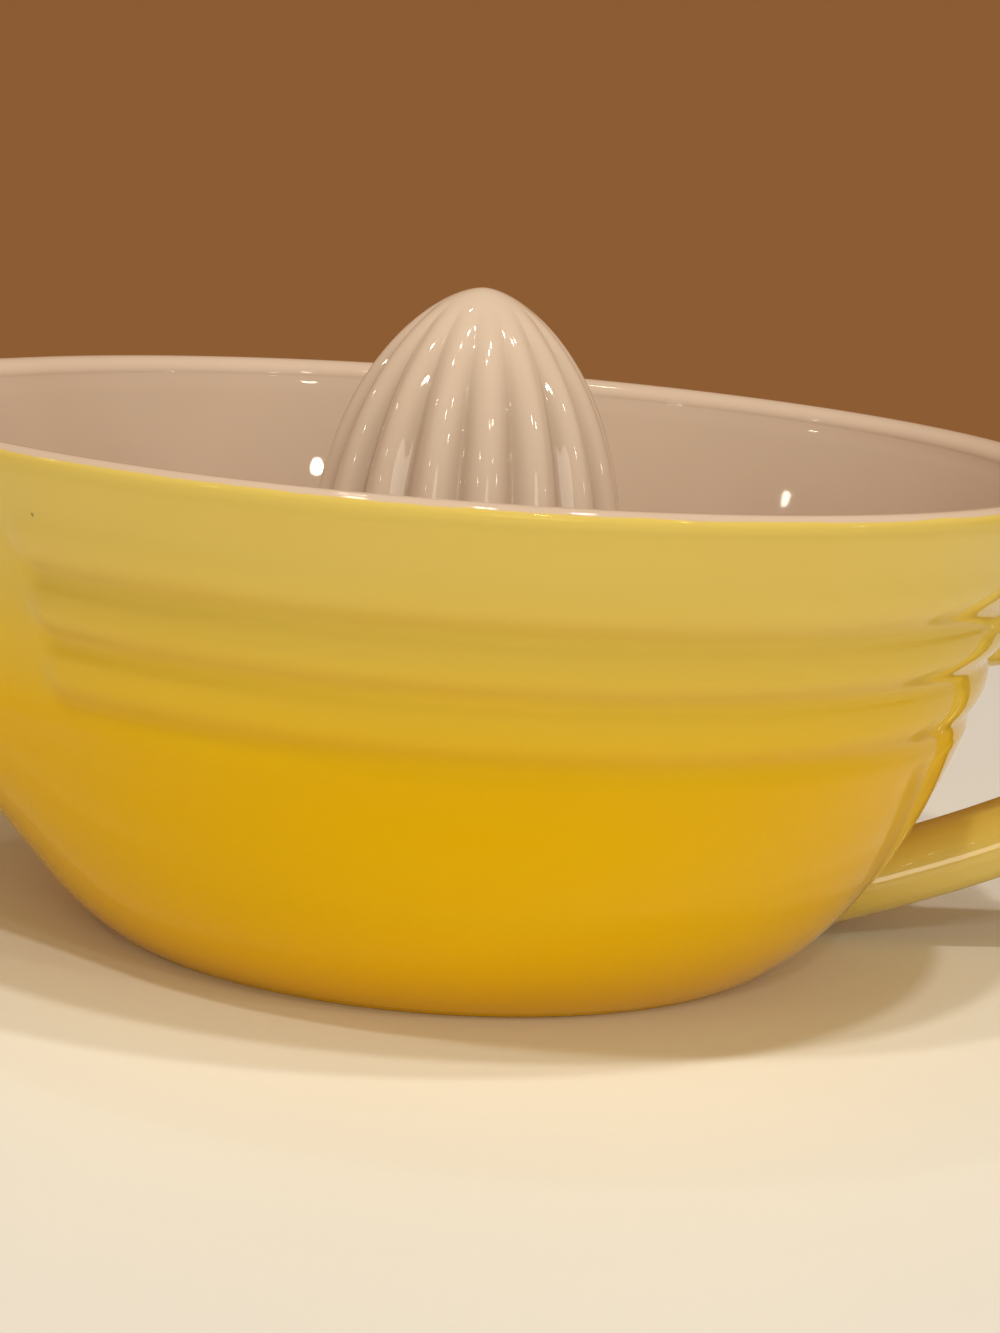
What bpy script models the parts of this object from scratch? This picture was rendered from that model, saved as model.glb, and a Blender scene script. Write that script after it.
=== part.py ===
"""Glazed stoneware citrus juicer: a ringed bowl with a pouring spout, a fluted reamer and a loop handle.

Run with: blender --background --python part.py
Units are metres, +Z is up. The spout points along -X and the handle along +X.
"""
import math

import bmesh
import bpy
from mathutils import Vector

# Bowl: rim, wall and ring bands
RIM_RADIUS = 0.082
RIM_HEIGHT = 0.069
WALL_THICKNESS = 0.0048
TOP_GROOVE_INSET = 0.0072
LOW_GROOVE_INSET = 0.0124
LOW_GROOVE_DROP = 0.0335
BAND_HEIGHT = 0.0080
BAND_COUNT = 2
GROOVE_DEPTH = 0.0013
LOW_GROOVE_DEPTH = 0.0006
BAND_STEP = 0.0009
BAND_STEP_SHARE = 0.08
BAND_UPRIGHT_SHARE = 0.35
TOP_ROUNDING_HEIGHT = 0.0083

# Bowl: lower body, foot and floor
BODY_BOTTOM_RADIUS = 0.0483
BODY_BOTTOM_HEIGHT = 0.0009
BODY_BULGE_INSET = 0.0080
BODY_BULGE_HEIGHT = 0.0105
FOOT_INSET = 0.0011
FOOT_WIDTH = 0.0055
FOOT_BEVEL = 0.0005
FLOOR_UNDERSIDE = 0.0028
FLOOR_THICKNESS = 0.0055
FLOOR_CORNER_INSET = 0.0037
FLOOR_FLAT_INSET = 0.0063

# Spout
SPOUT_REACH = 0.018
SPOUT_HALF_ANGLE = math.radians(40)
SPOUT_START_HEIGHT = 0.008
SPOUT_FULL_DROP = 0.021
SPOUT_NOSE_ROUNDING = 0.25
SPOUT_FLANK_POWER = 1.7
SPOUT_LIP_DIP = 0.0010
SPOUT_INNER_LIFT = 0.005

# Reamer
REAMER_RISE = 0.0183
REAMER_FOOT_RADIUS = 0.0305
REAMER_SHOULDER_RADIUS = 0.0203
REAMER_SHOULDER_DEPTH = 0.0269
REAMER_TIP_BLUNTNESS = 0.0047
REAMER_SHOULDER_PULL = 0.0195
REAMER_WALL = 0.0045
REAMER_TIP_WALL = 0.0065
RIB_COUNT = 16
FLUTE_DEPTH = 0.0021
FLUTE_START_DEPTH = 0.0020
FLUTE_FULL_DEPTH = 0.0220
FLUTE_POWER = 0.8

# Handle
HANDLE_THICKNESS = 0.0104
HANDLE_WIDTH = 0.0140
HANDLE_UPPER_ROOT_DROP = 0.0245
HANDLE_UPPER_ROOT_THICKNESS = 0.01248
HANDLE_UPPER_ARM_RISE = math.radians(12)
HANDLE_UPPER_PULL = 0.060
HANDLE_LOWER_ROOT_HEIGHT = 0.0068
HANDLE_LOWER_ARM_RISE = math.radians(15)
HANDLE_LOWER_PULL = 0.0797

# Clearances between pieces
SEAT_GAP = 0.0003
ROOT_GAP = 0.0004

# Glazes
YELLOW = (0.85, 0.55, 0.03)
CREAM = (0.83, 0.74, 0.62)
PALE_YELLOW = (0.84, 0.68, 0.20)
GLAZE_ROUGHNESS = 0.12

# How finely the shapes are cut
TURN_STEPS = 90
RIM_STEPS = 8
ROUNDING_STEPS = 4
BAND_STEPS = 4
BODY_STEPS = 8
FLOOR_STEPS = 8
WALL_STEPS = 4
DOME_STEPS = 12
TAPER_STEPS = 5
HOLLOW_SIDE_STEPS = 2
HOLLOW_TOP_STEPS = 5
HANDLE_STEPS = 22
HANDLE_SIDE_STEPS = 4
MERGE_DISTANCE = 0.00001
ANGLE_TOLERANCE = math.radians(0.01)
SHARP_ANGLE = math.radians(40)
OUTSIDE = "outside"

# Heights and radii that follow from the sizes above
LOW_GROOVE_HEIGHT = RIM_HEIGHT - LOW_GROOVE_DROP
TOP_GROOVE_HEIGHT = LOW_GROOVE_HEIGHT + BAND_COUNT * BAND_HEIGHT
LOW_GROOVE_RADIUS = RIM_RADIUS - LOW_GROOVE_INSET
TOP_GROOVE_RADIUS = RIM_RADIUS - TOP_GROOVE_INSET
BODY_BULGE_RADIUS = LOW_GROOVE_RADIUS - BODY_BULGE_INSET
FOOT_RADIUS = BODY_BOTTOM_RADIUS - FOOT_INSET
FLOOR_HEIGHT = FLOOR_UNDERSIDE + FLOOR_THICKNESS
WELL_RADIUS = REAMER_FOOT_RADIUS - REAMER_WALL
SPOUT_FULL_HEIGHT = RIM_HEIGHT - SPOUT_FULL_DROP
REAMER_HEIGHT = RIM_HEIGHT + REAMER_RISE
REAMER_SHOULDER_HEIGHT = REAMER_HEIGHT - REAMER_SHOULDER_DEPTH
REAMER_FOOT_HEIGHT = FLOOR_HEIGHT + SEAT_GAP


def clear_scene():
    """Remove whatever the file holds."""
    for item in list(bpy.data.objects):
        bpy.data.objects.remove(item, do_unlink=True)


def make_glaze(name, colour):
    """A plain glossy glaze."""
    material = bpy.data.materials.new(name)
    material.use_nodes = True
    shader = material.node_tree.nodes["Principled BSDF"]
    shader.inputs["Base Color"].default_value = (*colour, 1.0)
    shader.inputs["Roughness"].default_value = GLAZE_ROUGHNESS
    shader.inputs["Metallic"].default_value = 0.0
    material.diffuse_color = (*colour, 1.0)
    return material


def clamp(value):
    """Keep a share between 0 and 1."""
    return max(0.0, min(1.0, value))


def ease(share):
    """Go from 0 to 1 with a level start and end."""
    share = clamp(share)
    return share * share * (3.0 - 2.0 * share)


def curve_through_controls(controls, steps):
    """Points on the Bezier curve with these control points, both ends included."""
    points = []
    for step in range(steps + 1):
        level = [Vector(control) for control in controls]
        share = step / steps
        while len(level) > 1:
            level = [a.lerp(b, share) for a, b in zip(level, level[1:])]
        points.append(tuple(level[0]))
    return points


def plain_radius(height):
    """Outer radius of the upper wall without its rings: a parabola through three known radii."""
    z0, r0 = LOW_GROOVE_HEIGHT, LOW_GROOVE_RADIUS
    z1, r1 = TOP_GROOVE_HEIGHT, TOP_GROOVE_RADIUS
    z2, r2 = RIM_HEIGHT - WALL_THICKNESS / 2, RIM_RADIUS
    from_low = r0 * (height - z1) * (height - z2) / ((z0 - z1) * (z0 - z2))
    from_top = r1 * (height - z0) * (height - z2) / ((z1 - z0) * (z1 - z2))
    from_rim = r2 * (height - z0) * (height - z1) / ((z2 - z0) * (z2 - z1))
    return from_low + from_top + from_rim


def notch_radius(groove):
    """Radius at the bottom of a groove, counted from the lowest."""
    depth = GROOVE_DEPTH if groove else LOW_GROOVE_DEPTH
    return plain_radius(LOW_GROOVE_HEIGHT + groove * BAND_HEIGHT) - depth


def top_band_radius(height):
    """The wall above the grooves: plain at the rim, rounding in to the top groove."""
    rounding_top = TOP_GROOVE_HEIGHT + TOP_ROUNDING_HEIGHT
    if height >= rounding_top:
        return plain_radius(height)
    notch = notch_radius(BAND_COUNT)
    share = (rounding_top - height) / TOP_ROUNDING_HEIGHT
    return notch + (plain_radius(rounding_top) - notch) * (1.0 - share * share)


def band_radius(height):
    """A band between two grooves: it steps out, stands upright, then rounds in below."""
    band = min(int((height - LOW_GROOVE_HEIGHT) / BAND_HEIGHT), BAND_COUNT - 1)
    drop = 1.0 - ((height - LOW_GROOVE_HEIGHT) / BAND_HEIGHT - band)
    below = notch_radius(band)
    above = notch_radius(band + 1)
    if drop < BAND_STEP_SHARE:
        return above + BAND_STEP * math.sqrt(clamp(drop / BAND_STEP_SHARE))
    face = above + BAND_STEP
    share = clamp((drop - BAND_UPRIGHT_SHARE) / (1.0 - BAND_UPRIGHT_SHARE))
    return below + (face - below) * (1.0 - share * share)


def ring_relief(height):
    """How far the rings lie in or out of the plain wall at this height."""
    if height < LOW_GROOVE_HEIGHT - MERGE_DISTANCE:
        return 0.0
    if height > TOP_GROOVE_HEIGHT - MERGE_DISTANCE:
        return top_band_radius(height) - plain_radius(height)
    return band_radius(height) - plain_radius(height)


def band_drops():
    """Where a band's outline has points, as shares of its height down from the groove above."""
    drops = [BAND_STEP_SHARE / 2, BAND_STEP_SHARE, BAND_UPRIGHT_SHARE]
    for step in range(1, BAND_STEPS + 1):
        drops.append(BAND_UPRIGHT_SHARE + (1.0 - BAND_UPRIGHT_SHARE) * step / BAND_STEPS)
    return drops


def upper_wall_heights():
    """Heights of the outline's points on the upper wall, top to bottom."""
    heights = [RIM_HEIGHT - WALL_THICKNESS]
    for step in range(ROUNDING_STEPS + 1):
        heights.append(TOP_GROOVE_HEIGHT + TOP_ROUNDING_HEIGHT * (1.0 - step / ROUNDING_STEPS))
    for groove in range(BAND_COUNT, 0, -1):
        top = LOW_GROOVE_HEIGHT + groove * BAND_HEIGHT
        heights += [top - drop * BAND_HEIGHT for drop in band_drops()]
    return heights


def rim_points():
    """Half circle over the top of the wall, from inside to outside, as radius and height."""
    half = WALL_THICKNESS / 2
    centre = (RIM_RADIUS - half, RIM_HEIGHT - half)
    points = []
    for step in range(1, RIM_STEPS):
        angle = math.pi * (1.0 - step / RIM_STEPS)
        points.append((centre[0] + half * math.cos(angle), centre[1] + half * math.sin(angle)))
    return points


def body_points():
    """The lower body, from just under the lowest groove to the bottom edge."""
    start = (LOW_GROOVE_RADIUS, LOW_GROOVE_HEIGHT - LOW_GROOVE_DEPTH)
    bulge = (BODY_BULGE_RADIUS, BODY_BULGE_HEIGHT)
    end = (BODY_BOTTOM_RADIUS, BODY_BOTTOM_HEIGHT)
    return curve_through_controls([start, bulge, end], BODY_STEPS)


def outer_points():
    """The bowl's outside below its rim, down to the bottom edge."""
    return [(plain_radius(height), height) for height in upper_wall_heights()] + body_points()


def inner_points():
    """The inside of the bowl, from the floor's opening up to the rim."""
    wall_low = (plain_radius(LOW_GROOVE_HEIGHT) - WALL_THICKNESS, LOW_GROOVE_HEIGHT)
    corner = (BODY_BULGE_RADIUS - FLOOR_CORNER_INSET, FLOOR_HEIGHT)
    flat = (BODY_BOTTOM_RADIUS - FLOOR_FLAT_INSET, FLOOR_HEIGHT)
    points = [(WELL_RADIUS, FLOOR_HEIGHT)]
    points += curve_through_controls([flat, corner, wall_low], FLOOR_STEPS)
    top = RIM_HEIGHT - WALL_THICKNESS
    for step in range(1, WALL_STEPS + 1):
        height = LOW_GROOVE_HEIGHT + (top - LOW_GROOVE_HEIGHT) * step / WALL_STEPS
        points.append((plain_radius(height) - WALL_THICKNESS, height))
    return points


def foot_points():
    """The foot, set in a little from the body, its recess and the edge of the floor's opening."""
    inner_foot = FOOT_RADIUS - FOOT_WIDTH
    return [
        (FOOT_RADIUS, BODY_BOTTOM_HEIGHT - FOOT_BEVEL / 2),
        (FOOT_RADIUS - FOOT_BEVEL, 0.0),
        (inner_foot, 0.0),
        (inner_foot - FOOT_BEVEL, FLOOR_UNDERSIDE),
        (WELL_RADIUS, FLOOR_UNDERSIDE),
    ]


def turn_outline(name, outside, inside, closed):
    """Turn an outline about the Z axis; what comes from its outside stays in a vertex group."""
    points = outside + inside
    edges = [(index, index + 1) for index in range(len(points) - 1)]
    if closed:
        edges.append((len(points) - 1, 0))
    mesh = bpy.data.meshes.new(name)
    mesh.from_pydata([(radius, 0.0, height) for radius, height in points], edges, [])
    turned = bpy.data.objects.new(name, mesh)
    bpy.context.scene.collection.objects.link(turned)
    group = turned.vertex_groups.new(name=OUTSIDE)
    group.add(list(range(len(outside))), 1.0, "REPLACE")
    screw = turned.modifiers.new("turn", "SCREW")
    screw.steps = TURN_STEPS
    screw.render_steps = TURN_STEPS
    screw.use_merge_vertices = True
    screw.merge_threshold = MERGE_DISTANCE
    apply_modifiers(turned)
    return turned


def apply_modifiers(target):
    """Replace an object's mesh by the one that its modifiers give."""
    depsgraph = bpy.context.evaluated_depsgraph_get()
    mesh = bpy.data.meshes.new_from_object(target.evaluated_get(depsgraph))
    target.modifiers.clear()
    target.data = mesh


def spout_share(angle):
    """How far the spout is drawn out at this angle off its middle: straight flanks, a round nose."""
    share = clamp(abs(angle) / SPOUT_HALF_ANGLE)
    nose = SPOUT_NOSE_ROUNDING
    rounded = (math.hypot(share, nose) - nose) / (math.hypot(1.0, nose) - nose)
    return (1.0 - rounded) ** SPOUT_FLANK_POWER


def spout_bulge(height):
    """How far the middle of the spout stands out of the bowl at this height."""
    return SPOUT_REACH * ease((height - SPOUT_START_HEIGHT) / (SPOUT_FULL_HEIGHT - SPOUT_START_HEIGHT))


def shape_wall(vertex, extra_radius=0.0):
    """Move one vertex of the plain turned bowl to its place on the ringed, spouted bowl."""
    radius = math.hypot(vertex.co.x, vertex.co.y)
    height = vertex.co.z
    angle = math.atan2(vertex.co.y, -vertex.co.x)
    on_outside = len(vertex.groups) > 0
    share = spout_share(angle)
    lift = 0.0 if on_outside else SPOUT_INNER_LIFT
    new_radius = radius + extra_radius + spout_bulge(height - lift) * share
    if on_outside and abs(angle) > SPOUT_HALF_ANGLE + ANGLE_TOLERANCE:
        new_radius += ring_relief(height)
    lip = ease((height - SPOUT_FULL_HEIGHT) / (RIM_HEIGHT - SPOUT_FULL_HEIGHT))
    vertex.co.x *= new_radius / radius
    vertex.co.y *= new_radius / radius
    vertex.co.z -= SPOUT_LIP_DIP * lip * share


def make_bowl():
    """The bowl with its foot, ring bands and spout."""
    outside = rim_points() + outer_points()
    bowl = turn_outline("bowl", outside, foot_points() + inner_points(), closed=True)
    for vertex in bowl.data.vertices:
        shape_wall(vertex)
    return bowl


def close_top(mesh):
    """Fill the open ring at the top of a turned mesh."""
    work = bmesh.new()
    work.from_mesh(mesh)
    bmesh.ops.holes_fill(work, edges=[edge for edge in work.edges if edge.is_boundary], sides=0)
    work.to_mesh(mesh)
    work.free()


def make_bowl_cutter():
    """A solid of the bowl's outside, grown by the root gap, that trims the handle's roots."""
    below = -BODY_BOTTOM_HEIGHT
    bottom = [(BODY_BOTTOM_RADIUS, below), (0.0, below)]
    cutter = turn_outline("bowl_cutter", outer_points(), bottom, closed=False)
    close_top(cutter.data)
    for vertex in cutter.data.vertices:
        if math.hypot(vertex.co.x, vertex.co.y) > MERGE_DISTANCE:
            shape_wall(vertex, extra_radius=ROOT_GAP)
    cutter.hide_render = True
    cutter.display_type = "WIRE"
    hidden = bpy.data.collections.new("cutters")
    bpy.context.scene.collection.children.link(hidden)
    hidden.objects.link(cutter)
    bpy.context.scene.collection.objects.unlink(cutter)
    return cutter


def reamer_taper():
    """How much the reamer's radius grows for each metre down, below its shoulder."""
    return (REAMER_FOOT_RADIUS - REAMER_SHOULDER_RADIUS) / (REAMER_SHOULDER_HEIGHT - REAMER_FOOT_HEIGHT)


def reamer_crest():
    """The line of the reamer's ribs from the tip to the foot: a rounded dome, then a straight taper."""
    tip = (0.0, REAMER_HEIGHT)
    blunt = (REAMER_TIP_BLUNTNESS, REAMER_HEIGHT)
    pull_radius = REAMER_SHOULDER_RADIUS - reamer_taper() * REAMER_SHOULDER_PULL
    pull = (pull_radius, REAMER_SHOULDER_HEIGHT + REAMER_SHOULDER_PULL)
    shoulder = (REAMER_SHOULDER_RADIUS, REAMER_SHOULDER_HEIGHT)
    foot = (REAMER_FOOT_RADIUS, REAMER_FOOT_HEIGHT)
    dome = curve_through_controls([tip, blunt, pull, shoulder], DOME_STEPS)
    return dome + curve_through_controls([shoulder, foot], TAPER_STEPS)[1:]


def reamer_hollow():
    """The inside of the reamer, from its foot up to the axis."""
    radius = REAMER_SHOULDER_RADIUS - REAMER_WALL
    top = REAMER_HEIGHT - REAMER_TIP_WALL
    foot = (WELL_RADIUS, REAMER_FOOT_HEIGHT)
    shoulder = (radius, REAMER_SHOULDER_HEIGHT)
    corner = (radius + reamer_taper() * (REAMER_SHOULDER_HEIGHT - top), top)
    side = curve_through_controls([foot, shoulder], HOLLOW_SIDE_STEPS)
    return side + curve_through_controls([shoulder, corner, (0.0, top)], HOLLOW_TOP_STEPS)[1:]


def flute_depth(height):
    """Depth of the flutes: none at the smooth tip, full from a little below it."""
    depth = REAMER_HEIGHT - height
    share = (depth - FLUTE_START_DEPTH) / (FLUTE_FULL_DEPTH - FLUTE_START_DEPTH)
    return FLUTE_DEPTH * math.sin(clamp(share) * math.pi / 2)


def make_reamer():
    """The fluted cone on the bowl's floor, hollow underneath."""
    reamer = turn_outline("reamer", reamer_crest(), reamer_hollow(), closed=False)
    for vertex in reamer.data.vertices:
        radius = math.hypot(vertex.co.x, vertex.co.y)
        if not vertex.groups or radius < MERGE_DISTANCE:
            continue
        angle = math.atan2(vertex.co.y, vertex.co.x)
        valley = 1.0 - abs(math.cos(angle * RIB_COUNT / 2)) ** FLUTE_POWER
        new_radius = radius - flute_depth(vertex.co.z) * valley
        vertex.co.x *= new_radius / radius
        vertex.co.y *= new_radius / radius
    return reamer


def wall_radius_at(height):
    """The bowl's outer radius at any height, rings left out."""
    outside = outer_points()
    for (r_high, z_high), (r_low, z_low) in zip(outside, outside[1:]):
        if z_low <= height <= z_high and z_low < z_high:
            return r_low + (r_high - r_low) * (height - z_low) / (z_high - z_low)
    return BODY_BOTTOM_RADIUS


def handle_root(height, rise):
    """Where an arm of the handle starts, inside the wall, and the way it leaves."""
    away = Vector((math.cos(rise), math.sin(rise)))
    at_wall = Vector((wall_radius_at(height), height))
    return at_wall - away * WALL_THICKNESS, away


def handle_route():
    """The loop's centre line, from the ring bands out and back down to the lower body."""
    upper, upper_away = handle_root(RIM_HEIGHT - HANDLE_UPPER_ROOT_DROP, HANDLE_UPPER_ARM_RISE)
    lower, lower_away = handle_root(HANDLE_LOWER_ROOT_HEIGHT, HANDLE_LOWER_ARM_RISE)
    upper_pull = upper + upper_away * HANDLE_UPPER_PULL
    lower_pull = lower + lower_away * HANDLE_LOWER_PULL
    return curve_through_controls([upper, upper_pull, lower_pull, lower], HANDLE_STEPS)


def make_handle_bar():
    """The loop as a plain bar, wider than thick, that runs into the bowl's wall at both ends."""
    route = handle_route()
    curve = bpy.data.curves.new("handle_curve", "CURVE")
    curve.dimensions = "3D"
    curve.bevel_depth = HANDLE_THICKNESS / 2
    curve.bevel_resolution = HANDLE_SIDE_STEPS
    curve.use_fill_caps = True
    spline = curve.splines.new("POLY")
    spline.points.add(len(route) - 1)
    for point, (reach, height) in zip(spline.points, route):
        point.co = (reach, 0.0, height, 1.0)
    spline.points[0].radius = HANDLE_UPPER_ROOT_THICKNESS / HANDLE_THICKNESS
    bar = bpy.data.objects.new("handle_curve", curve)
    bpy.context.scene.collection.objects.link(bar)
    depsgraph = bpy.context.evaluated_depsgraph_get()
    mesh = bpy.data.meshes.new_from_object(bar.evaluated_get(depsgraph))
    bpy.data.objects.remove(bar, do_unlink=True)
    weld_mesh(mesh)
    for vertex in mesh.vertices:
        vertex.co.y *= HANDLE_WIDTH / HANDLE_THICKNESS
    return mesh


def weld_mesh(mesh):
    """Join the doubled vertices that a converted curve leaves at its caps."""
    work = bmesh.new()
    work.from_mesh(mesh)
    bmesh.ops.remove_doubles(work, verts=work.verts, dist=MERGE_DISTANCE)
    work.to_mesh(mesh)
    work.free()


def make_handle(cutter):
    """The loop handle, its roots trimmed to the bowl's wall."""
    handle = bpy.data.objects.new("handle", make_handle_bar())
    bpy.context.scene.collection.objects.link(handle)
    trim = handle.modifiers.new("trim", "BOOLEAN")
    trim.operation = "DIFFERENCE"
    trim.solver = "EXACT"
    trim.object = cutter
    apply_modifiers(handle)
    return handle


def finish_piece(piece, material):
    """Give a piece its material and smooth shading with its sharp edges kept."""
    piece.data.materials.clear()
    piece.data.materials.append(material)
    piece.data.polygons.foreach_set("use_smooth", [True] * len(piece.data.polygons))
    piece.data.set_sharp_from_angle(angle=SHARP_ANGLE)


def centre_on_box(pieces):
    """Move the pieces so that the middle of the whole part's box stands on the origin."""
    reach = [(piece.matrix_world @ vertex.co).x for piece in pieces for vertex in piece.data.vertices]
    for piece in pieces:
        piece.location.x = -(min(reach) + max(reach)) / 2


def main():
    """Build the three pieces, each with its own glaze."""
    clear_scene()
    cutter = make_bowl_cutter()
    bowl = make_bowl()
    reamer = make_reamer()
    handle = make_handle(cutter)
    bpy.data.objects.remove(cutter, do_unlink=True)
    finish_piece(bowl, make_glaze("yellow_glaze", YELLOW))
    finish_piece(reamer, make_glaze("cream_glaze", CREAM))
    finish_piece(handle, make_glaze("pale_yellow_glaze", PALE_YELLOW))
    centre_on_box([bowl, reamer, handle])


main()
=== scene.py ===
"""Glazed stoneware citrus juicer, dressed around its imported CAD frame.

Every size is in metres. The bowl's own axis stands beside the origin, so shapes are made
about that axis first and moved to it at the end.
"""
import math

import bpy
import numpy as np
from mathutils import Matrix, Vector


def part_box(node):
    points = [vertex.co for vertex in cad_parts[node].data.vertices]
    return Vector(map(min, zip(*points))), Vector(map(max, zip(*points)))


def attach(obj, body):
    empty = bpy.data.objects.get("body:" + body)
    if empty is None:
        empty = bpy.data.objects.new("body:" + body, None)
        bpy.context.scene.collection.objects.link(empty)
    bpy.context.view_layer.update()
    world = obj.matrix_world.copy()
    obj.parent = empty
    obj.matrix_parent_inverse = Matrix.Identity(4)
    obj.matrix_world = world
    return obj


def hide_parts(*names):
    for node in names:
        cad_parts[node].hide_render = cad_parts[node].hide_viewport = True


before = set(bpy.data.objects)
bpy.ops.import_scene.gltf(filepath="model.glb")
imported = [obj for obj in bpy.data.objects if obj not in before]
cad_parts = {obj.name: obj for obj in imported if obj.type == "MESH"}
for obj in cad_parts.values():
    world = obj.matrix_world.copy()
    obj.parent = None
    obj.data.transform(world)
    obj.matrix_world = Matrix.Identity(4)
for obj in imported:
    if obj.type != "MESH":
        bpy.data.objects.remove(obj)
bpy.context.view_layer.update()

# Sizes of the bowl that the CAD source has too
RIM_RADIUS = 0.082
RIM_HEIGHT = 0.069
WALL_THICKNESS = 0.0048
TOP_GROOVE_INSET = 0.0072
LOW_GROOVE_INSET = 0.0124
LOW_GROOVE_DROP = 0.0335
BAND_HEIGHT = 0.0080
BAND_COUNT = 2
GROOVE_DEPTH = 0.0013
LOW_GROOVE_DEPTH = 0.0006
BAND_STEP = 0.0009
BAND_STEP_SHARE = 0.08
BAND_UPRIGHT_SHARE = 0.35
TOP_ROUNDING_HEIGHT = 0.0083
BODY_BOTTOM_RADIUS = 0.0483
BODY_BOTTOM_HEIGHT = 0.0009
BODY_BULGE_INSET = 0.0080
BODY_BULGE_HEIGHT = 0.0105
FOOT_INSET = 0.0011
FOOT_WIDTH = 0.0055
FOOT_BEVEL = 0.0005
FLOOR_UNDERSIDE = 0.0028
FLOOR_THICKNESS = 0.0055
FLOOR_CORNER_INSET = 0.0037
FLOOR_FLAT_INSET = 0.0063
SPOUT_REACH = 0.018
SPOUT_HALF_ANGLE = math.radians(40)
SPOUT_START_HEIGHT = 0.008
SPOUT_FULL_DROP = 0.021
SPOUT_NOSE_ROUNDING = 0.25
SPOUT_FLANK_POWER = 1.7
SPOUT_LIP_DIP = 0.0010
SPOUT_INNER_LIFT = 0.005

# Sizes of the reamer and the handle that the CAD source has too
REAMER_RISE = 0.0183
REAMER_FOOT_RADIUS = 0.0305
REAMER_SHOULDER_RADIUS = 0.0203
REAMER_SHOULDER_DEPTH = 0.0269
REAMER_TIP_BLUNTNESS = 0.0047
REAMER_SHOULDER_PULL = 0.0195
REAMER_WALL = 0.0045
REAMER_TIP_WALL = 0.0065
RIB_COUNT = 16
FLUTE_DEPTH = 0.0021
FLUTE_START_DEPTH = 0.0020
FLUTE_FULL_DEPTH = 0.0220
SEAT_GAP = 0.0003
HANDLE_THICKNESS = 0.0104
HANDLE_WIDTH = 0.0140
HANDLE_UPPER_ROOT_DROP = 0.0245
HANDLE_UPPER_ROOT_THICKNESS = 0.01248
HANDLE_UPPER_ARM_RISE = math.radians(12)
HANDLE_UPPER_PULL = 0.060
HANDLE_LOWER_ROOT_HEIGHT = 0.0068
HANDLE_LOWER_ARM_RISE = math.radians(15)
HANDLE_LOWER_PULL = 0.0797

# Radii and heights that follow from them
LOW_GROOVE_HEIGHT = RIM_HEIGHT - LOW_GROOVE_DROP
TOP_GROOVE_HEIGHT = LOW_GROOVE_HEIGHT + BAND_COUNT * BAND_HEIGHT
ROUNDING_TOP = TOP_GROOVE_HEIGHT + TOP_ROUNDING_HEIGHT
LOW_GROOVE_RADIUS = RIM_RADIUS - LOW_GROOVE_INSET
TOP_GROOVE_RADIUS = RIM_RADIUS - TOP_GROOVE_INSET
BODY_TOP_HEIGHT = LOW_GROOVE_HEIGHT - LOW_GROOVE_DEPTH
BODY_BULGE_RADIUS = LOW_GROOVE_RADIUS - BODY_BULGE_INSET
FOOT_RADIUS = BODY_BOTTOM_RADIUS - FOOT_INSET
FLOOR_HEIGHT = FLOOR_UNDERSIDE + FLOOR_THICKNESS
FLOOR_CORNER_RADIUS = BODY_BULGE_RADIUS - FLOOR_CORNER_INSET
FLOOR_FLAT_RADIUS = BODY_BOTTOM_RADIUS - FLOOR_FLAT_INSET
SPOUT_FULL_HEIGHT = RIM_HEIGHT - SPOUT_FULL_DROP
WELL_RADIUS = REAMER_FOOT_RADIUS - REAMER_WALL
REAMER_HEIGHT = RIM_HEIGHT + REAMER_RISE
REAMER_SHOULDER_HEIGHT = REAMER_HEIGHT - REAMER_SHOULDER_DEPTH
REAMER_FOOT_HEIGHT = FLOOR_HEIGHT + SEAT_GAP
HANDLE_UPPER_ROOT_HEIGHT = RIM_HEIGHT - HANDLE_UPPER_ROOT_DROP

# What the glaze does to the shapes: it rounds the flutes and softens and partly fills the ring
# notches; a band of painted shade lies just above each notch
FLUTE_POWER = 1.2
NOTCH_FLAT = 0.0006
RELIEF_SHARE = 0.8
RING_LIFT = 0.0010
GLAZE_SOFTENING = 0.00085
# Where the painted shade above each groove lies, and how wide it is
GROOVE_SHADE_RISE = 0.0025
GROOVE_SHADE_SPREAD = 0.0010

reamer_low, reamer_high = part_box("reamer")
AXIS = Vector(((reamer_low.x + reamer_high.x) / 2, 0.0, 0.0))


# Curves and other formulas, on numpy arrays
def ease(share):
    """A slope from 0 to 1 with soft ends."""
    share = np.clip(share, 0.0, 1.0)
    return share * share * (3.0 - 2.0 * share)


def bell(reach, step, spread):
    """A bell-shaped smoothing kernel of 2 * reach + 1 samples that add up to 1."""
    kernel = np.exp(-0.5 * (np.arange(-reach, reach + 1) * step / spread) ** 2)
    return kernel / kernel.sum()


def after_first(start, end, steps):
    """Even steps from start to end, without the start itself."""
    return np.linspace(start, end, steps + 1)[1:]


def bezier(controls, steps):
    """Points on the Bezier curve with these controls, both ends included."""
    share = np.linspace(0.0, 1.0, steps + 1)[:, None]
    level = [np.array(control, float)[None, :] for control in controls]
    while len(level) > 1:
        level = [a * (1.0 - share) + b * share for a, b in zip(level, level[1:])]
    return level[0]


def arc(centre, across, up, start, end, steps):
    """Points on an ellipse from one angle to another, both ends included."""
    angle = np.linspace(start, end, steps + 1)
    return np.stack([centre[0] + across * np.cos(angle), centre[1] + up * np.sin(angle)], axis=1)


def fillet_flare(distance, size):
    """How far a round fillet of this size stands out at a distance from the face it meets."""
    near = np.clip(distance / size, 0.0, 1.0)
    return size * (1.0 - np.sqrt(1.0 - (1.0 - near) ** 2))


SEED_PHASE = 1.7
WAVE_PHASE = 2.399
HEIGHT_PHASE = 3.1
HEIGHT_TURNS = 45.0
SLOWEST_WAVE = 2


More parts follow.
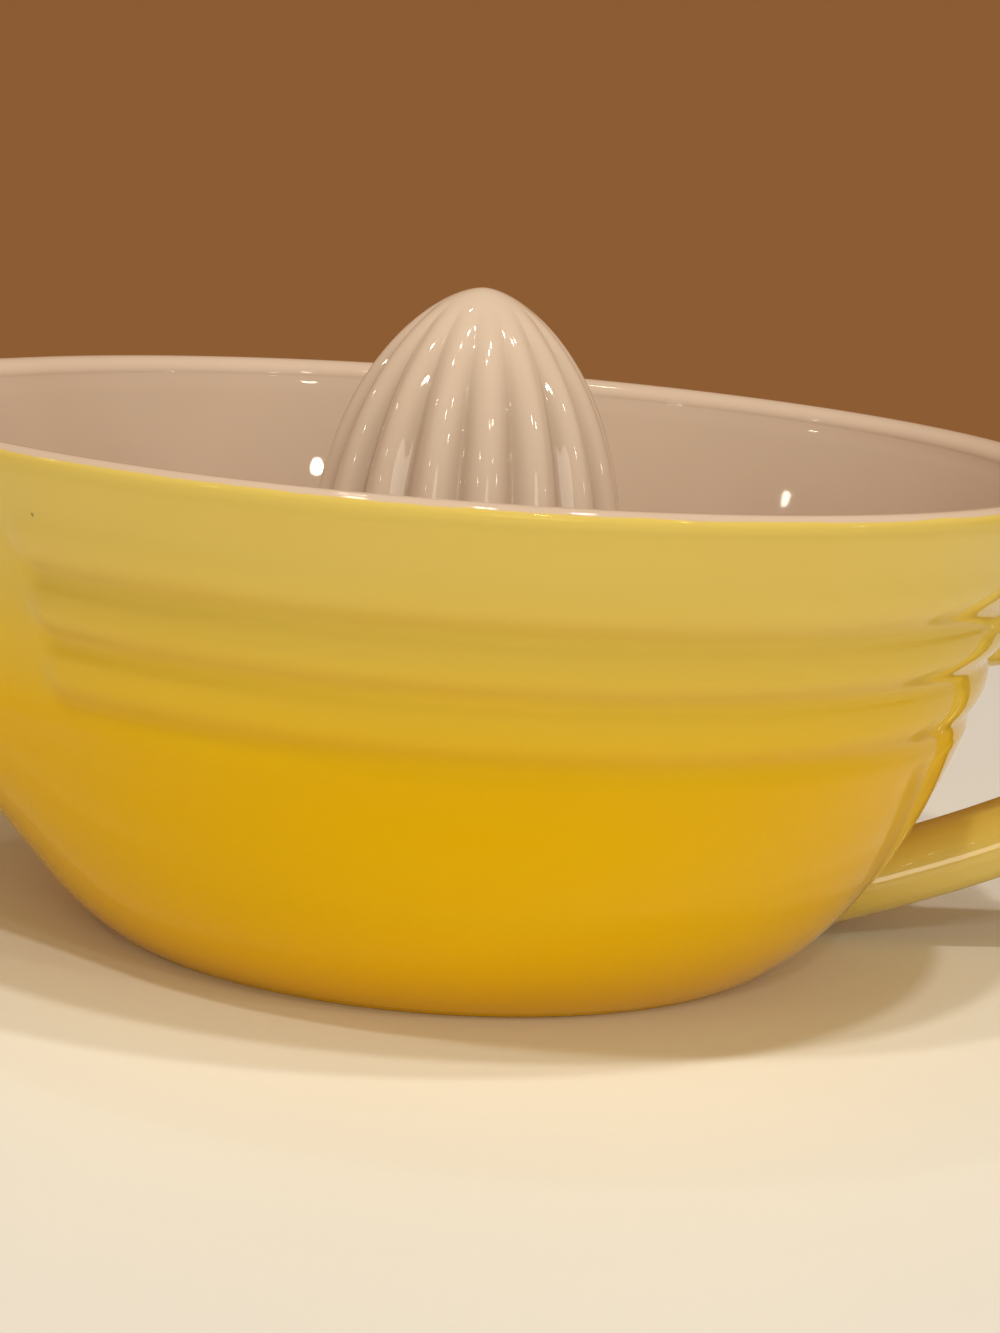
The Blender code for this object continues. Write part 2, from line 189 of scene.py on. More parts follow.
def wobble(angle, height, seed, waves):
    """Slow unevenness of a hand-finished surface, from -1 to 1, smooth all the way round."""
    value = np.zeros(np.broadcast(angle, height).shape)
    for index in range(waves):
        turns = index + SLOWEST_WAVE
        phase = seed * SEED_PHASE + index * WAVE_PHASE
        slant = HEIGHT_TURNS * height * math.sin(phase * HEIGHT_PHASE)
        value = value + np.sin(turns * angle + phase + slant) / turns
    return value / sum(1.0 / (index + SLOWEST_WAVE) for index in range(waves))


# Rings
def plain_radius(height):
    """The bowl's outer radius without its rings."""
    z0, r0 = LOW_GROOVE_HEIGHT, LOW_GROOVE_RADIUS
    z1, r1 = TOP_GROOVE_HEIGHT, TOP_GROOVE_RADIUS
    z2, r2 = RIM_HEIGHT - WALL_THICKNESS / 2, RIM_RADIUS
    return (
        r0 * (height - z1) * (height - z2) / ((z0 - z1) * (z0 - z2))
        + r1 * (height - z0) * (height - z2) / ((z1 - z0) * (z1 - z2))
        + r2 * (height - z0) * (height - z1) / ((z2 - z0) * (z2 - z1))
    )


def notch_radius(groove):
    """The radius at the bottom of a groove; groove 0 is the lowest."""
    depth = GROOVE_DEPTH if groove else LOW_GROOVE_DEPTH
    return plain_radius(LOW_GROOVE_HEIGHT + groove * BAND_HEIGHT) - depth


def ring_radius(height):
    """The radius on a ring band at one height, with sharp corners."""
    if height >= TOP_GROOVE_HEIGHT:
        notch = notch_radius(BAND_COUNT)
        share = min((ROUNDING_TOP - height) / (TOP_ROUNDING_HEIGHT - NOTCH_FLAT), 1.0)
        return notch + (plain_radius(ROUNDING_TOP) - notch) * (1.0 - share * share)
    band = min(int((height - LOW_GROOVE_HEIGHT) / BAND_HEIGHT), BAND_COUNT - 1)
    drop = 1.0 - ((height - LOW_GROOVE_HEIGHT) / BAND_HEIGHT - band)
    below, above = notch_radius(band), notch_radius(band + 1)
    if drop < BAND_STEP_SHARE:
        return above + BAND_STEP * math.sqrt(max(drop, 0.0) / BAND_STEP_SHARE)
    curved = 1.0 - BAND_UPRIGHT_SHARE - NOTCH_FLAT / BAND_HEIGHT
    share = min(max(drop - BAND_UPRIGHT_SHARE, 0.0) / curved, 1.0)
    return below + (above + BAND_STEP - below) * (1.0 - share * share)


def hard_relief(height):
    """How far the rings lie in or out of the plain wall at one height."""
    if height < LOW_GROOVE_HEIGHT or height >= ROUNDING_TOP:
        return 0.0
    return ring_radius(height) - plain_radius(height)


RELIEF_STEP = 0.00005
RELIEF_MARGIN = 0.004
RELIEF_REACH = 60
relief_heights = np.arange(LOW_GROOVE_HEIGHT - RELIEF_MARGIN, RIM_HEIGHT, RELIEF_STEP)
relief_values = np.convolve(
    [hard_relief(height) for height in relief_heights],
    bell(RELIEF_REACH, RELIEF_STEP, GLAZE_SOFTENING),
    mode="same",
)


def ring_relief(height):
    """The rings' relief with its corners softened and its notches partly filled by the glaze."""
    lifted = height - RING_LIFT
    return RELIEF_SHARE * np.interp(lifted, relief_heights, relief_values, left=0.0, right=0.0)


def groove_shade(height):
    """How strongly painted shade darkens the band just above each groove, from 0 to 1."""
    shade = np.zeros_like(height)
    for groove in range(BAND_COUNT + 1):
        middle = LOW_GROOVE_HEIGHT + groove * BAND_HEIGHT + GROOVE_SHADE_RISE
        shade = shade + np.exp(-0.5 * ((height - middle) / GROOVE_SHADE_SPREAD) ** 2)
    return shade


# Spout
def spout_share(angle):
    """How much of the spout's reach an angle has: 1 at its nose, 0 from its creases on."""
    share = np.clip(np.abs(angle) / SPOUT_HALF_ANGLE, 0.0, 1.0)
    nose = SPOUT_NOSE_ROUNDING
    rounded = (np.hypot(share, nose) - nose) / (math.hypot(1.0, nose) - nose)
    return (1.0 - rounded) ** SPOUT_FLANK_POWER


# The softened share is a table, its step, end and softness in degrees
SHARE_STEP = 0.05
SHARE_END = 60.0
CREASE_SOFTNESS = 1.3
CREASE_REACH = 120
share_angles = np.radians(np.arange(0.0, SHARE_END, SHARE_STEP))
soft_shares = np.convolve(
    np.pad(spout_share(share_angles), CREASE_REACH, mode="reflect"),
    bell(CREASE_REACH, SHARE_STEP, CREASE_SOFTNESS),
    mode="valid",
)


def soft_spout_share(angle):
    """The spout's share with its creases and its nose softened by the glaze."""
    return np.interp(np.abs(angle), share_angles, soft_shares, right=0.0)


def spout_bulge(height):
    """How far the spout's nose stands out of the round wall."""
    return SPOUT_REACH * ease((height - SPOUT_START_HEIGHT) / (SPOUT_FULL_HEIGHT - SPOUT_START_HEIGHT))


# Mesh helpers
def grid_faces(rows, columns, close_rows):
    """Quads over a grid that closes round its columns, and its rows too if asked."""
    row = np.arange(rows if close_rows else rows - 1)[:, None]
    column = np.arange(columns)[None, :]
    after, beside = (row + 1) % rows, (column + 1) % columns
    corners = ((row, column), (row, beside), (after, beside), (after, column))
    return np.stack([r * columns + c for r, c in corners], axis=-1).reshape(-1, 4)


def tube_faces(rows, columns):
    """Quads over a grid round its columns, and a fan from each end to one of two more corners."""
    ring = np.arange(columns)
    beside = (ring + 1) % columns
    last_ring = (rows - 1) * columns
    start = np.full(columns, rows * columns)
    first_fan = np.stack([beside, ring, start], axis=1)
    last_fan = np.stack([last_ring + ring, last_ring + beside, start + 1], axis=1)
    return [*grid_faces(rows, columns, False), *first_fan, *last_fan]


def make_piece(name, points, faces, attributes, materials, face_material=None):
    """A smooth mesh object from arrays, its points given about the bowl's axis."""
    mesh = bpy.data.meshes.new(name)
    mesh.from_pydata((points + np.array(AXIS)).tolist(), [], [list(face) for face in faces])
    for key, values in attributes.items():
        layer = mesh.attributes.new(key, "FLOAT", "POINT")
        layer.data.foreach_set("value", np.asarray(values, np.float32).ravel())
    for material in materials:
        mesh.materials.append(material)
    if face_material is not None:
        mesh.polygons.foreach_set("material_index", face_material.astype(np.int32))
    mesh.polygons.foreach_set("use_smooth", np.ones(len(mesh.polygons), bool))
    mesh.update()
    mesh.validate()
    piece = bpy.data.objects.new(name, mesh)
    bpy.context.scene.collection.objects.link(piece)
    return piece


# Node trees
class Nodes:
    """Short calls that build the node tree of a material or of the world."""

    def __init__(self, tree):
        self.tree = tree
        self.shader = tree.nodes.get("Principled BSDF")

    def add(self, kind, **settings):
        node = self.tree.nodes.new(kind)
        for key, value in settings.items():
            setattr(node, key, value)
        return node

    def feed(self, socket, value):
        """Link another node's output or set a value; a colour is given as three numbers."""
        if isinstance(value, bpy.types.NodeSocket):
            self.tree.links.new(value, socket)
        elif socket.type == "RGBA":
            socket.default_value = (*value, 1.0)
        else:
            socket.default_value = value

    def math(self, operation, a, b):
        node = self.add("ShaderNodeMath", operation=operation)
        self.feed(node.inputs[0], a)
        self.feed(node.inputs[1], b)
        return node.outputs[0]

    def span(self, value, low, high, to_low=0.0, to_high=1.0, kind="SMOOTHSTEP"):
        """The value mapped from low and high to to_low and to_high, and held beyond them."""
        node = self.add("ShaderNodeMapRange", interpolation_type=kind)
        for socket, item in zip(node.inputs, (value, low, high, to_low, to_high)):
            self.feed(socket, item)
        return node.outputs[0]

    def mix(self, share, a, b, blend="MIX"):
        """Colour a where share is 0, colour b where it is 1."""
        node = self.add("ShaderNodeMix", data_type="RGBA", blend_type=blend)
        self.feed(node.inputs["Factor"], share)
        self.feed(node.inputs[6], a)
        self.feed(node.inputs[7], b)
        return node.outputs[2]

    def toned(self, share, colour, tone):
        """The colour multiplied by a tone where share is 1."""
        return self.mix(share, colour, self.mix(1.0, colour, tone, "MULTIPLY"))

    def position(self):
        return self.add("ShaderNodeTexCoord").outputs["Object"]

    def height(self):
        split = self.add("ShaderNodeSeparateXYZ")
        self.feed(split.inputs[0], self.position())
        return split.outputs["Z"]

    def attribute(self, name):
        return self.add("ShaderNodeAttribute", attribute_name=name).outputs["Fac"]

    def noise(self, scale, detail=2.0):
        node = self.add("ShaderNodeTexNoise")
        self.feed(node.inputs["Vector"], self.position())
        self.feed(node.inputs["Scale"], scale)
        self.feed(node.inputs["Detail"], detail)
        return node.outputs["Fac"]

    def patches(self, scale, low, high, strength=1.0):
        """Soft patches, from 0 to their strength as the noise runs from low to high."""
        return self.span(self.noise(scale), low, high, 0.0, strength)

    def wavering(self, value, scale, reach):
        """The value, shifted up and down by noise within this reach."""
        shift = self.math("MULTIPLY", self.math("SUBTRACT", self.noise(scale), 0.5), reach)
        return self.math("ADD", value, shift)

    def ramp(self, value, stops):
        node = self.add("ShaderNodeValToRGB")
        self.feed(node.inputs[0], value)
        elements = node.color_ramp.elements
        while len(elements) < len(stops):
            elements.new(0.5)
        for element, (place, colour) in zip(elements, stops):
            element.position = place
            element.color = (*colour, 1.0)
        return node.outputs[0]

    def specks(self, spacing, size, share):
        """Sparse round specks: 1 in a speck, 0 outside; share is how many cells hold one."""
        cells = self.add("ShaderNodeTexVoronoi", feature="F1")
        self.feed(cells.inputs["Vector"], self.position())
        self.feed(cells.inputs["Scale"], 1.0 / spacing)
        split = self.add("ShaderNodeSeparateColor")
        self.feed(split.inputs[0], cells.outputs["Color"])
        held = self.math("LESS_THAN", split.outputs[0], share)
        edge = size / spacing
        near = self.span(cells.outputs["Distance"], edge, SPECK_CORE * edge)
        return self.math("MULTIPLY", held, near)

    def bump(self, height, distance, strength, normal=None):
        node = self.add("ShaderNodeBump")
        self.feed(node.inputs["Strength"], strength)
        self.feed(node.inputs["Distance"], distance)
        self.feed(node.inputs["Height"], height)
        if normal is not None:
            self.feed(node.inputs["Normal"], normal)
        return node.outputs[0]


def new_material(name):
    material = bpy.data.materials.new(name)
    material.use_nodes = True
    return material, Nodes(material.node_tree)


# Glaze colours and sheens, by the share of the rim's height where they change with it
WHITE = (1.0, 1.0, 1.0)
CREAM = (0.71, 0.56, 0.45)
CREAM_DEEP = (0.63, 0.48, 0.37)
RIB_CREAM = (0.77, 0.625, 0.51)
# Painted shade in the reamer's flutes
FLUTE_SHADE_CREAM = (0.50, 0.38, 0.29)
PALE = (0.80, 0.61, 0.145)
PALE_DEEP = (0.76, 0.58, 0.11)
GOLD = (0.84, 0.50, 0.002)
# A slightly redder gold near the foot, painted lighter to brighten its shaded underside
GOLD_LIFTED_FOOT = (0.93, 0.52, 0.002)
SPECK = (0.20, 0.12, 0.05)
YELLOWS = [
    # Painted light: the lighter gold at the foot brightens its shaded underside
    (0.02, GOLD_LIFTED_FOOT),
    (0.22, GOLD),
    (0.49, GOLD),
    (0.53, (0.84, 0.52, 0.006)),
    (0.58, (0.83, 0.54, 0.028)),
    (0.64, (0.83, 0.56, 0.048)),
    (0.72, (0.78, 0.555, 0.080)),
    (0.88, PALE),
]
SHEENS = [(0.40, (0.80, 0.60, 0.02)), (0.56, (0.85, 0.80, 0.35))]
FADED_TONE = (0.94, 0.90, 0.80)
# Painted shade: a darker band just above each ring groove
GROOVE_SHADE_TONE = (0.80, 0.72, 0.45)
GROOVE_SHADE_STRENGTH = 0.50
# Painted shade: the inner wall below the rim's lip is darker
WALL_SHADE_TONE = (0.86, 0.84, 0.82)
LIP_TOP_DROP = 0.0012
LIP_END_DROP = 0.0052

# Glaze surface
GLAZE_IOR = 1.45
SMOOTHEST = 0.03
ROUGHEST = 0.06
BOWL_GLOSS = 0.33
REAMER_GLOSS = 0.5
HANDLE_GLOSS = 0.8
SPECK_CORE = 0.4
GLAZE_EDGE_WAVER = 0.0006
GLAZE_EDGE_SOFTNESS = 0.00015
JOINT_START = 0.66
JOINT_END = 0.97


def finish_glaze(nodes, colour, specks, speck_strength, sheen, gloss):
    """Specks, gloss, slight orange peel and pinholes, made alike on every glazed piece."""
    inputs = nodes.shader.inputs
    colour = nodes.mix(nodes.math("MULTIPLY", specks, speck_strength), colour, SPECK)
    nodes.feed(inputs["Base Color"], colour)
    haze = nodes.span(nodes.noise(scale=70.0), low=0.25, high=0.75, to_low=SMOOTHEST, to_high=ROUGHEST)
    nodes.feed(inputs["Roughness"], haze)
    nodes.feed(inputs["Specular Tint"], sheen)
    nodes.feed(inputs["IOR"], GLAZE_IOR)
    nodes.feed(inputs["Specular IOR Level"], gloss)
    peel = nodes.bump(nodes.noise(scale=420.0, detail=1.0), distance=0.00002, strength=0.35)
    waves = nodes.noise(scale=75.0, detail=1.0)
    slow = nodes.bump(waves, distance=0.00012, strength=0.4, normal=peel)
    holes = nodes.math("MULTIPLY", specks, -1.0)
    nodes.feed(inputs["Normal"], nodes.bump(holes, distance=0.0001, strength=0.6, normal=slow))


def yellow_by_height(nodes):
    """The outside's colour and sheen by height, which drifts slightly."""
    level = nodes.wavering(nodes.height(), scale=18.0, reach=0.006)
    share = nodes.math("DIVIDE", level, RIM_HEIGHT)
    return nodes.ramp(share, YELLOWS), nodes.ramp(share, SHEENS)


def bowl_glaze():
    """Cream inside and over the rim, with painted shade on the inner wall below the lip; outside, butter
    yellow that turns to gold below the rings, with painted shade just above each groove.
    """
    material, nodes = new_material("bowl_glaze")
    outside, outside_sheen = yellow_by_height(nodes)
    faded = nodes.patches(scale=30.0, low=0.3, high=0.7, strength=0.12)
    outside = nodes.toned(faded, outside, FADED_TONE)
    # Painted shade: a darker band just above each ring groove
    painted_groove_shade = nodes.math("MULTIPLY", nodes.attribute("painted_groove_shade"), GROOVE_SHADE_STRENGTH)
    outside = nodes.toned(painted_groove_shade, outside, GROOVE_SHADE_TONE)
    deeper = nodes.patches(scale=26.0, low=0.3, high=0.75, strength=0.35)
    inside = nodes.mix(deeper, CREAM, CREAM_DEEP)
    # Painted shade: the inner wall below the rim's lip is darker
    shaded_below_lip = nodes.span(nodes.height(), RIM_HEIGHT - LIP_TOP_DROP, RIM_HEIGHT - LIP_END_DROP)
    inside = nodes.toned(shaded_below_lip, inside, WALL_SHADE_TONE)
    edge = nodes.wavering(nodes.attribute("from_edge"), scale=160.0, reach=GLAZE_EDGE_WAVER)
    mask = nodes.span(edge, -GLAZE_EDGE_SOFTNESS, GLAZE_EDGE_SOFTNESS)
    colour = nodes.mix(mask, inside, outside)
    sheen = nodes.mix(mask, WHITE, outside_sheen)
    specks = nodes.specks(spacing=0.0065, size=0.00035, share=0.05)
    finish_glaze(nodes, colour, specks, speck_strength=0.7, sheen=sheen, gloss=BOWL_GLOSS)
    return material


def cream_glaze():
    """The reamer's glaze: light cream on the ribs, with painted shade darkening the flutes."""
    material, nodes = new_material("reamer_glaze")
    # Painted shade: the flutes are darker towards their bottoms
    painted_flute_shade = nodes.span(nodes.attribute("valley"), low=0.15, high=1.0, to_high=0.7)
    colour = nodes.mix(painted_flute_shade, RIB_CREAM, FLUTE_SHADE_CREAM)
    deeper = nodes.patches(scale=40.0, low=0.35, high=0.7, strength=0.25)
    colour = nodes.mix(deeper, colour, CREAM_DEEP)
    specks = nodes.specks(spacing=0.006, size=0.0003, share=0.03)
    finish_glaze(nodes, colour, specks, speck_strength=0.6, sheen=WHITE, gloss=REAMER_GLOSS)
    return material


def handle_glaze():
    """Butter yellow, deeper near the bowl, and in the joint the bowl's own colour and sheen."""
    material, nodes = new_material("handle_glaze")
    root = nodes.attribute("root")
    colour = nodes.mix(root, PALE, PALE_DEEP)
    deeper = nodes.patches(scale=35.0, low=0.35, high=0.7, strength=0.35)
    colour = nodes.mix(deeper, colour, PALE_DEEP)
    joint = nodes.span(root, JOINT_START, JOINT_END)
    bowl_colour, bowl_sheen = yellow_by_height(nodes)
    colour = nodes.mix(joint, colour, bowl_colour)
    sheen = nodes.mix(joint, WHITE, bowl_sheen)
    gloss = nodes.span(joint, 0.0, 1.0, HANDLE_GLOSS, BOWL_GLOSS, kind="LINEAR")
    specks = nodes.specks(spacing=0.006, size=0.0003, share=0.03)
    finish_glaze(nodes, colour, specks, speck_strength=0.6, sheen=sheen, gloss=gloss)
    return material


CLAY_DARK = (0.56, 0.47, 0.36)
CLAY_LIGHT = (0.68, 0.60, 0.49)
CLAY_ROUGHNESS = 0.85


def bare_clay():
    """The wiped foot: dry, fine-grained clay."""
    material, nodes = new_material("bare_clay")
    grain = nodes.noise(scale=900.0, detail=3.0)
    inputs = nodes.shader.inputs
    lighter = nodes.span(grain, low=0.3, high=0.7)
    nodes.feed(inputs["Base Color"], nodes.mix(lighter, CLAY_DARK, CLAY_LIGHT))
    nodes.feed(inputs["Roughness"], CLAY_ROUGHNESS)
    nodes.feed(inputs["Normal"], nodes.bump(grain, distance=0.0001, strength=0.6))
    return material


# Bowl: softened corners, and rows of its mesh along each stretch of the outline
RIM_CORNER = 0.0014
FOOT_SOFTENING = 0.0001
INNER_RIM_ROWS = 18
OUTER_RIM_ROWS = 16
COLLAR_ROWS = 8
ROUNDING_ROWS = 16
BAND_ROW_SHARES = (0.02, 0.04, 0.06, BAND_STEP_SHARE, 0.11, 0.15, 0.25, BAND_UPRIGHT_SHARE)
BAND_CURVE_ROWS = 12
BODY_ROWS = 40
UNDERSIDE_ROWS = 6
FLOOR_RING_RADII = (0.0335, 0.0365, 0.0395)
FLOOR_ROWS = 36
INNER_WALL_ROWS = 18

BODY_CONTROLS = [
    (LOW_GROOVE_RADIUS, BODY_TOP_HEIGHT),
    (BODY_BULGE_RADIUS, BODY_BULGE_HEIGHT),
    (BODY_BOTTOM_RADIUS, BODY_BOTTOM_HEIGHT),
]


def outer_wall():
    """The outline from the rim's outer corner down to the lowest groove, without its rings."""
    shares = [*BAND_ROW_SHARES, *after_first(BAND_UPRIGHT_SHARE, 1.0, BAND_CURVE_ROWS)]
    heights = [
        *after_first(RIM_HEIGHT - RIM_CORNER, ROUNDING_TOP, COLLAR_ROWS),
        *after_first(ROUNDING_TOP, TOP_GROOVE_HEIGHT, ROUNDING_ROWS),
    ]
    for groove in range(BAND_COUNT, 0, -1):
        heights += [LOW_GROOVE_HEIGHT + (groove - share) * BAND_HEIGHT for share in shares]
    return [(plain_radius(height), height) for height in heights]


def foot_outline():
    """The outer side of the foot ring, its sole, and its inner side with the floor's underside."""
    soft = FOOT_SOFTENING
    inner = FOOT_RADIUS - FOOT_WIDTH
    side = [
        (BODY_BOTTOM_RADIUS - 3 * soft, BODY_BOTTOM_HEIGHT - 2.2 * soft),
        (FOOT_RADIUS + soft, BODY_BOTTOM_HEIGHT - FOOT_BEVEL / 2),
        (FOOT_RADIUS, BODY_BOTTOM_HEIGHT - 4 * soft),
        (FOOT_RADIUS - soft, 2 * soft),
    ]
    sole = [(FOOT_RADIUS - FOOT_BEVEL, 0.0), (FOOT_RADIUS - FOOT_WIDTH / 2, 0.0)]
    underside = [
        (inner, 0.0),
        (inner - 3 * soft, 3 * soft),
        (inner - FOOT_BEVEL, FLOOR_UNDERSIDE - 8 * soft),
        (inner - 16 * soft, FLOOR_UNDERSIDE - soft),
        (inner - 30 * soft, FLOOR_UNDERSIDE),
    ]
    flat = np.linspace(inner - 60 * soft, WELL_RADIUS + 6 * soft, UNDERSIDE_ROWS)
    underside += [(radius, FLOOR_UNDERSIDE) for radius in flat]
    underside += [(WELL_RADIUS + soft, FLOOR_UNDERSIDE + 2 * soft), (WELL_RADIUS, FLOOR_UNDERSIDE + 7 * soft)]
    return side, sole, underside


def bowl_outline():
    """Radius and height all round the bowl's section: its outside, its sole and its inside."""
    half = WALL_THICKNESS / 2
    inner_rim = arc(
        (RIM_RADIUS - RIM_CORNER, RIM_HEIGHT - half),
        WALL_THICKNESS - RIM_CORNER,
        half,
        math.pi,
        math.pi / 2,
        INNER_RIM_ROWS,
    )
    corner = (RIM_RADIUS - RIM_CORNER, RIM_HEIGHT - RIM_CORNER)
    outer_rim = arc(corner, RIM_CORNER, RIM_CORNER, math.pi / 2, 0.0, OUTER_RIM_ROWS)
    side, sole, underside = foot_outline()
    outside = [*inner_rim[:-1], *outer_rim, *outer_wall(), *bezier(BODY_CONTROLS, BODY_ROWS), *side]
    floor = [(radius, FLOOR_HEIGHT) for radius in (WELL_RADIUS, REAMER_FOOT_RADIUS, *FLOOR_RING_RADII)]
    floor_controls = [
        (FLOOR_FLAT_RADIUS, FLOOR_HEIGHT),
        (FLOOR_CORNER_RADIUS, FLOOR_HEIGHT),
        (plain_radius(LOW_GROOVE_HEIGHT) - WALL_THICKNESS, LOW_GROOVE_HEIGHT),
    ]
    heights = after_first(LOW_GROOVE_HEIGHT, RIM_HEIGHT - half, INNER_WALL_ROWS)[:-1]
    inner_wall = [(plain_radius(height) - WALL_THICKNESS, height) for height in heights]
    inside = [*underside, *floor, *bezier(floor_controls, FLOOR_ROWS), *inner_wall]
    return np.array(outside), np.array(sole), np.array(inside)


# Columns round the bowl, in degrees from the spout's middle, closest together at its creases
COLUMN_STEP = 1.0
CREASE_STEP = 0.25
CREASE_FROM = 36
CREASE_TO = 46


def column_angles():
    """The columns' angles in radians, from the spout's middle all the way round."""
    half = np.concatenate([
        np.arange(0, CREASE_FROM, COLUMN_STEP),
        np.arange(CREASE_FROM, CREASE_TO, CREASE_STEP),
        np.arange(CREASE_TO, 180 + COLUMN_STEP / 10, COLUMN_STEP),
    ])
    return np.radians(np.concatenate([half, -half[1:-1][::-1]]))


EDGE_ON_RIM = math.radians(35)
SOLE_GLAZE_REACH = 0.002
SOLE_GLAZE_ROWS = 2
DEEP_INSIDE = -0.01


def distance_past_edge(outline, last_outside):
    """How far each row lies outside the line on the rim where the yellow starts, less than 0 inside."""
    step = np.diff(outline, axis=0)
    run = np.concatenate([[0.0], np.cumsum(np.hypot(step[:, 0], step[:, 1]))])
    edge = run[INNER_RIM_ROWS] + (math.pi / 2 - EDGE_ON_RIM) * RIM_CORNER
    row = np.arange(len(outline))
    past_sole = run[last_outside] - run + SOLE_GLAZE_REACH
    distance = np.where(row <= last_outside, run - edge, past_sole)
    return np.where(row > last_outside + SOLE_GLAZE_ROWS, DEEP_INSIDE, distance)


# Where the rings fade out beside the spout, and how uneven the bowl is
RING_END_LEAD = math.radians(1.5)
RING_END_RUN = math.radians(3.3)
BOWL_UNEVENNESS = 0.00012
BOWL_EVEN_BELOW = 0.02
BOWL_SEED = 1.0
BOWL_WAVES = 5


def make_bowl():
    outside, sole, inside = bowl_outline()
    outline = np.concatenate([outside, sole, inside])
    row = np.arange(len(outline))
    last_outside = len(outside) + len(sole) - 1
    is_outside = row <= last_outside
    is_sole = is_outside & (row >= len(outside))
    radius, height = outline[:, :1], outline[:, 1:]
    angle = column_angles()[None, :]
    share = soft_spout_share(angle)
    lift = np.where(is_outside, 0.0, SPOUT_INNER_LIFT)[:, None]
    on_wall = is_outside[:, None] & (radius > BODY_BOTTOM_RADIUS)
    past_spout = ease((np.abs(angle) - SPOUT_HALF_ANGLE + RING_END_LEAD) / RING_END_RUN)
    uneven = BOWL_UNEVENNESS * wobble(angle, height, BOWL_SEED, BOWL_WAVES)
    new_radius = (
        radius
        + spout_bulge(height - lift) * share
        + np.where(on_wall, ring_relief(height), 0.0) * past_spout
        + uneven * ease(height / BOWL_EVEN_BELOW)
    )
    lip = ease((height - SPOUT_FULL_HEIGHT) / (RIM_HEIGHT - SPOUT_FULL_HEIGHT))
    new_height = height - SPOUT_LIP_DIP * lip * share
    points = np.stack([-new_radius * np.cos(angle), new_radius * np.sin(angle), new_height], axis=-1)
    rows, columns = new_radius.shape
    attributes = {
        "from_edge": np.repeat(distance_past_edge(outline, last_outside), columns),
        # Share of the painted shade just above each groove
        "painted_groove_shade": np.where(on_wall, groove_shade(height), 0.0) * past_spout,
    }
    bowl = make_piece(
        "bowl_glazed",
        points.reshape(-1, 3),
        grid_faces(rows, columns, True),
        attributes,
        [bowl_glaze(), bare_clay()],
        np.repeat(is_sole, columns),
    )
    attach(bowl, "root")
    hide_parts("bowl")


# Reamer: rows and columns of its mesh, its fillet and its unevenness
COLUMNS_PER_RIB = 28
DOME_ROWS = 60
SIDE_ROWS = 39
HOLLOW_SIDE_ROWS = 12
HOLLOW_TOP_ROWS = 16
FILLET_TOP = 0.005
FILLET_ROW_HEIGHTS = (0.0042, 0.0035, 0.0028, 0.0022, 0.0017, 0.0013, 0.0009, 0.0006, 0.00035, 0.00015, 0.0)
REAMER_FILLET = 0.0035
REAMER_SINK = 0.0002
WELL_CORNER_WIDTH = 0.0005
WELL_CORNER_HEIGHT = 0.0001
POLE_RADIUS = 0.00002
VALLEY_ROUNDING = 0.0025
FLUTE_FADE_HEIGHT = 0.006
REAMER_UNEVENNESS = 0.00006
CALM_TIP_DEPTH = 0.01
REAMER_SEED = 4.0
REAMER_WAVES = 4


def reamer_outline():
    """Radius and height down the reamer's crests, and then up its hollow."""
    taper = (REAMER_FOOT_RADIUS - REAMER_SHOULDER_RADIUS) / (REAMER_SHOULDER_HEIGHT - REAMER_FOOT_HEIGHT)
    shoulder = (REAMER_SHOULDER_RADIUS, REAMER_SHOULDER_HEIGHT)
    pull = (
        REAMER_SHOULDER_RADIUS - taper * REAMER_SHOULDER_PULL,
        REAMER_SHOULDER_HEIGHT + REAMER_SHOULDER_PULL,
    )
    tip = (0.0, REAMER_HEIGHT)
    dome = bezier([tip, (REAMER_TIP_BLUNTNESS, REAMER_HEIGHT), pull, shoulder], DOME_ROWS)
    dome[0, 0] = POLE_RADIUS
    side_heights = [
        *after_first(REAMER_SHOULDER_HEIGHT, FLOOR_HEIGHT + FILLET_TOP, SIDE_ROWS),
        *(FLOOR_HEIGHT + height for height in FILLET_ROW_HEIGHTS),
        FLOOR_HEIGHT - REAMER_SINK,
    ]
    side = [
        (REAMER_SHOULDER_RADIUS + taper * (REAMER_SHOULDER_HEIGHT - height), height)
        for height in side_heights
    ]
    hollow_shoulder = (REAMER_SHOULDER_RADIUS - REAMER_WALL, REAMER_SHOULDER_HEIGHT)
    hollow_top = REAMER_HEIGHT - REAMER_TIP_WALL
    corner = (hollow_shoulder[0] + taper * (REAMER_SHOULDER_HEIGHT - hollow_top), hollow_top)
    hollow = [
        (WELL_RADIUS + WELL_CORNER_WIDTH, FLOOR_HEIGHT - REAMER_SINK),
        (WELL_RADIUS, FLOOR_HEIGHT + WELL_CORNER_HEIGHT),
        *bezier([(WELL_RADIUS, REAMER_FOOT_HEIGHT), hollow_shoulder], HOLLOW_SIDE_ROWS)[1:],
        *bezier([hollow_shoulder, corner, (POLE_RADIUS, hollow_top)], HOLLOW_TOP_ROWS)[1:],
    ]
    return np.array([*dome, *side]), np.array(hollow)


